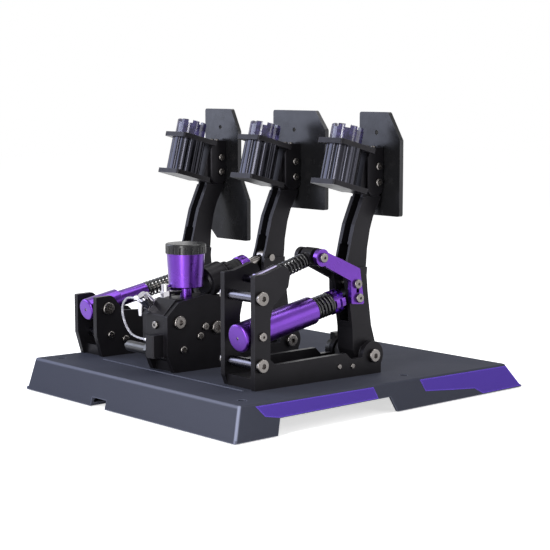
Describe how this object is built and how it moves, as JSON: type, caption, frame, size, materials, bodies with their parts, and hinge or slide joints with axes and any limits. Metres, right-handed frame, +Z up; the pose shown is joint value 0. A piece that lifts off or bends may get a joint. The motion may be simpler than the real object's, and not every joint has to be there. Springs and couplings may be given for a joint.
{
  "type": "sim racing pedal set",
  "caption": "Racing simulator pedal set: clutch, hydraulic brake and throttle pedals with face plates, dampers, springs and vibration motors on a folded metal tray.",
  "frame": {"origin": "middle of the whole part's footprint, on the floor", "axes": "+X to the driver's right, +Y the way the pedals are pressed, +Z up"},
  "size_m": [0.3411, 0.3997, 0.292],
  "materials": {
    "tray_black": "satin powder coat",
    "black_anodised": "semi-gloss black anodised",
    "purple_anodised": "bright purple anodised",
    "satin_aluminium": "machined",
    "stainless": "polished screw heads",
    "black_spring": "black spring steel",
    "chrome": "bright chrome",
    "black_plastic": "moulded, slightly glossy",
    "violet_crown": "dark translucent violet",
    "bush_polymer": "plain bearing polymer",
    "black_rubber": "matt",
    "pale_hose": "pale clear hose"
  },
  "bodies": {
    "frame": {"base_tray": "tray_black", "foot_pads": "black_rubber", "module_rails": "black_anodised", "frame_spacers": "satin_aluminium", "frame_bolts": "stainless", "pivot_shafts": "stainless", "position_sensors": "black_plastic", "clutch_side_plates": "black_anodised", "brake_side_plates": "black_anodised", "throttle_side_plates": "black_anodised", "brake_block": "black_anodised", "brake_cylinder": "black_anodised", "brake_elastomer": "black_rubber", "fluid_reservoir": "purple_anodised", "hose_unions": "chrome", "pressure_sensor": "black_plastic", "brake_hose": "pale_hose"},
    "clutch_pedal": {"clutch_arm": "black_anodised", "clutch_bushes": "bush_polymer", "clutch_adapter": "black_anodised", "clutch_face": "black_anodised", "clutch_arm_bolts": "stainless", "clutch_motor_bracket": "black_anodised", "clutch_motor": "black_plastic", "clutch_motor_crown": "violet_crown", "clutch_left_link": "purple_anodised", "clutch_right_link": "black_anodised", "clutch_link_bolts": "stainless"},
    "brake_pedal": {"brake_arm": "black_anodised", "brake_bushes": "bush_polymer", "brake_adapter": "black_anodised", "brake_face": "black_anodised", "brake_arm_bolts": "stainless", "brake_motor_bracket": "black_anodised", "brake_motor": "black_plastic", "brake_motor_crown": "violet_crown"},
    "throttle_pedal": {"throttle_arm": "black_anodised", "throttle_bushes": "bush_polymer", "throttle_adapter": "black_anodised", "throttle_face": "black_anodised", "throttle_arm_bolts": "stainless", "throttle_motor_bracket": "black_anodised", "throttle_motor": "black_plastic", "throttle_motor_crown": "violet_crown"},
    "clutch_damper": {"clutch_damper_barrel": "purple_anodised", "clutch_damper_cap": "purple_anodised", "clutch_spring": "black_spring"},
    "clutch_rod": {"clutch_damper_rod": "black_anodised"},
    "clutch_ring": {"clutch_preload_ring": "purple_anodised"},
    "assist_block": {"assist_barrel": "satin_aluminium", "assist_spring": "black_spring"},
    "assist_slider": {"assist_rod": "black_anodised"},
    "throttle_damper": {"throttle_damper_barrel": "purple_anodised", "throttle_damper_cap": "purple_anodised", "throttle_spring": "black_spring"},
    "throttle_rod": {"throttle_damper_rod": "stainless"},
    "brake_rod": {"brake_push_rod": "stainless"},
    "preload_wheel": {"brake_preload_wheel": "purple_anodised"},
    "reservoir_lid": {"reservoir_cap": "black_plastic"}
  },
  "joints": [
    {"name": "clutch_press", "type": "hinge", "parent": "frame", "child": "clutch_pedal", "pos_m": [-0.1021, -0.023, 0.049], "axis": [-1, 0, 0], "range_deg": [0, 12], "stiffness_Nm_per_rad": 60, "springref_deg": -5.73},
    {"name": "brake_press", "type": "hinge", "parent": "frame", "child": "brake_pedal", "pos_m": [0.0209, -0.023, 0.049], "axis": [-1, 0, 0], "range_deg": [0, 4.5], "stiffness_Nm_per_rad": 600, "springref_deg": -0.57},
    {"name": "throttle_press", "type": "hinge", "parent": "frame", "child": "throttle_pedal", "pos_m": [0.1439, -0.023, 0.049], "axis": [-1, 0, 0], "range_deg": [0, 15], "stiffness_Nm_per_rad": 25, "springref_deg": -8.59},
    {"name": "clutch_damper_swing", "type": "hinge", "parent": "frame", "child": "clutch_damper", "pos_m": [-0.1021, 0.125, 0.084], "axis": [1, 0, 0], "range_deg": [0, 1.1]},
    {"name": "clutch_rod_slide", "type": "slide", "parent": "clutch_damper", "child": "clutch_rod", "axis": [0, 0.983, -0.1836], "range_m": [0, 0.0128], "deforming": ["clutch_spring"]},
    {"name": "clutch_ring_turn", "type": "hinge", "parent": "clutch_rod", "child": "clutch_ring", "pos_m": [-0.1021, -0.00623, 0.10851], "axis": [0, 0.983, -0.1836], "continuous": true},
    {"name": "assist_swing", "type": "hinge", "parent": "frame", "child": "assist_block", "pos_m": [-0.1021, 0.108, 0.1345], "axis": [1, 0, 0], "range_deg": [0, 11.5]},
    {"name": "assist_slide", "type": "slide", "parent": "assist_block", "child": "assist_slider", "axis": [0, 0.9637, -0.267], "range_m": [0, 0.023], "deforming": ["assist_spring"]},
    {"name": "throttle_damper_swing", "type": "hinge", "parent": "frame", "child": "throttle_damper", "pos_m": [0.1439, 0.127, 0.0845], "axis": [1, 0, 0], "range_deg": [0, 1.7]},
    {"name": "throttle_rod_slide", "type": "slide", "parent": "throttle_damper", "child": "throttle_rod", "axis": [0, 0.9839, -0.179], "range_m": [0, 0.0158], "deforming": ["throttle_spring"]},
    {"name": "brake_rod_slide", "type": "slide", "parent": "frame", "child": "brake_rod", "axis": [0, 0.9723, -0.2335], "range_m": [0, 0.0072], "deforming": ["brake_elastomer"]},
    {"name": "preload_wheel_turn", "type": "hinge", "parent": "brake_rod", "child": "preload_wheel", "pos_m": [0.0209, -0.00499, 0.13822], "axis": [0, 0.9723, -0.2335], "continuous": true},
    {"name": "reservoir_cap_turn", "type": "hinge", "parent": "frame", "child": "reservoir_lid", "pos_m": [0.0209, 0.1026, 0.15], "axis": [0, 0, 1], "continuous": true}
  ],
  "couplings": [
    {"joint": "clutch_damper_swing", "follows": "clutch_press", "ratio": 0.0882},
    {"joint": "clutch_rod_slide", "follows": "clutch_press", "m_per_rad": 0.060657},
    {"joint": "assist_swing", "follows": "clutch_press", "ratio": 0.94901},
    {"joint": "assist_slide", "follows": "clutch_press", "m_per_rad": 0.10917},
    {"joint": "throttle_damper_swing", "follows": "throttle_press", "ratio": 0.11285},
    {"joint": "throttle_rod_slide", "follows": "throttle_press", "m_per_rad": 0.060275},
    {"joint": "brake_rod_slide", "follows": "brake_press", "m_per_rad": 0.090996}
  ]
}
